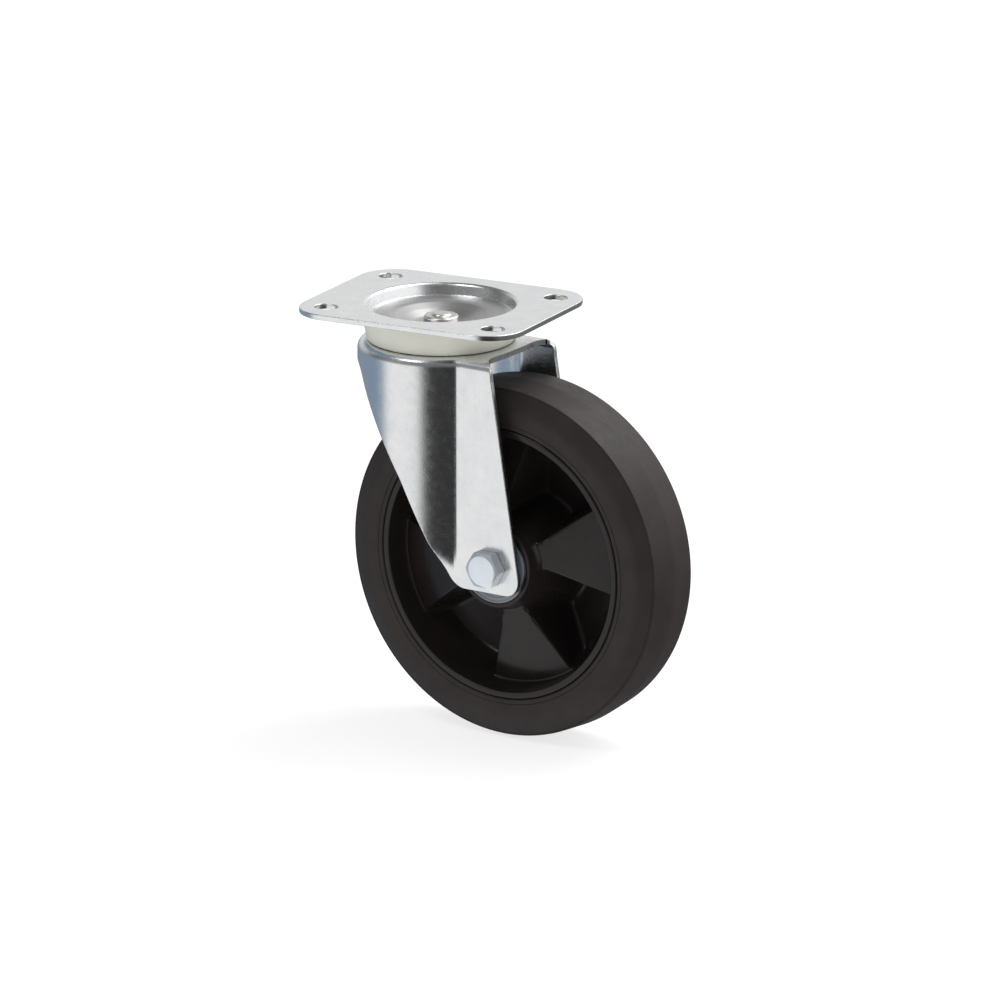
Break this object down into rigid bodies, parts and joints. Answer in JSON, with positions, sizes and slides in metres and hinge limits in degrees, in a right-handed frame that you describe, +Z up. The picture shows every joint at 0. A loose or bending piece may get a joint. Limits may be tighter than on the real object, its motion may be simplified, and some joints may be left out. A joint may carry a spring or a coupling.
{
  "type": "gate wheel",
  "caption": "Swivelling gate wheel: rectangular bolt-on plate with ball race, pressed steel fork, and a solid rubber-tyred wheel on ball bearings.",
  "frame": {"origin": "centre of the top plate's upper face, on the kingpin's axis", "axes": "+Z up out of the plate towards the gate, +X along the plate's long side towards the trailing side, +Y along its short side; at rest the fork is turned 6.3 degrees clockwise seen from above"},
  "size_m": [0.2201, 0.11, 0.235],
  "materials": {
    "zinc_sheet": "bright blue-white zinc plating on pressed sheet",
    "zinc_bolt": "bright zinc plating",
    "pin_steel": "turned steel, dull zinc",
    "bearing_steel": "ground bearing steel",
    "dust_plastic": "ivory polyethylene",
    "lock_nylon": "blue nylon",
    "wheel_nylon": "black moulded nylon, satin",
    "tyre_rubber": "dull black elastic rubber",
    "seal_rubber": "grey-blue seal",
    "cage_plastic": "glass-filled nylon"
  },
  "bodies": {
    "plate": {"top_plate": "zinc_sheet", "kingpin": "pin_steel", "pivot_sleeve": "pin_steel", "lower_race_cup": "pin_steel", "dust_ring": "dust_plastic"},
    "fork": {"fork": "zinc_sheet", "axle_bolt": "zinc_bolt", "axle_nut": "zinc_bolt", "nut_locking_ring": "lock_nylon", "nut_washer": "zinc_sheet", "axle_tube": "bearing_steel", "front_spacer_ring": "bearing_steel", "rear_spacer_ring": "bearing_steel", "hub_centre_spacer": "bearing_steel", "front_bearing_inner_ring": "bearing_steel", "rear_bearing_inner_ring": "bearing_steel"},
    "wheel": {"wheel_rim": "wheel_nylon", "tyre": "tyre_rubber", "front_bearing_outer_ring": "bearing_steel", "rear_bearing_outer_ring": "bearing_steel", "front_outer_seal": "seal_rubber", "front_inner_seal": "seal_rubber", "rear_outer_seal": "seal_rubber", "rear_inner_seal": "seal_rubber"},
    "upper_balls": {"upper_ball_row": "bearing_steel"},
    "lower_balls": {"lower_ball_row": "bearing_steel"},
    "front_balls": {"front_bearing_balls": "bearing_steel", "front_bearing_cage": "cage_plastic"},
    "rear_balls": {"rear_bearing_balls": "bearing_steel", "rear_bearing_cage": "cage_plastic"}
  },
  "joints": [
    {"name": "swivel", "type": "hinge", "parent": "plate", "child": "fork", "pos_m": [0, 0, 0], "axis": [0, 0, 1], "continuous": true},
    {"name": "wheel_spin", "type": "hinge", "parent": "fork", "child": "wheel", "pos_m": [0.05268, -0.00582, -0.135], "axis": [0.1097, 0.994, 0], "continuous": true},
    {"name": "upper_balls_roll", "type": "hinge", "parent": "plate", "child": "upper_balls", "pos_m": [0, 0, 0], "axis": [0, 0, 1], "continuous": true},
    {"name": "lower_balls_roll", "type": "hinge", "parent": "plate", "child": "lower_balls", "pos_m": [0, 0, 0], "axis": [0, 0, 1], "continuous": true},
    {"name": "front_balls_roll", "type": "hinge", "parent": "fork", "child": "front_balls", "pos_m": [0.05268, -0.00582, -0.135], "axis": [0.1097, 0.994, 0], "continuous": true},
    {"name": "rear_balls_roll", "type": "hinge", "parent": "fork", "child": "rear_balls", "pos_m": [0.05268, -0.00582, -0.135], "axis": [0.1097, 0.994, 0], "continuous": true}
  ],
  "couplings": [
    {"joint": "upper_balls_roll", "follows": "swivel", "ratio": 0.5},
    {"joint": "lower_balls_roll", "follows": "swivel", "ratio": 0.5},
    {"joint": "front_balls_roll", "follows": "wheel_spin", "ratio": 0.601},
    {"joint": "rear_balls_roll", "follows": "wheel_spin", "ratio": 0.601}
  ]
}
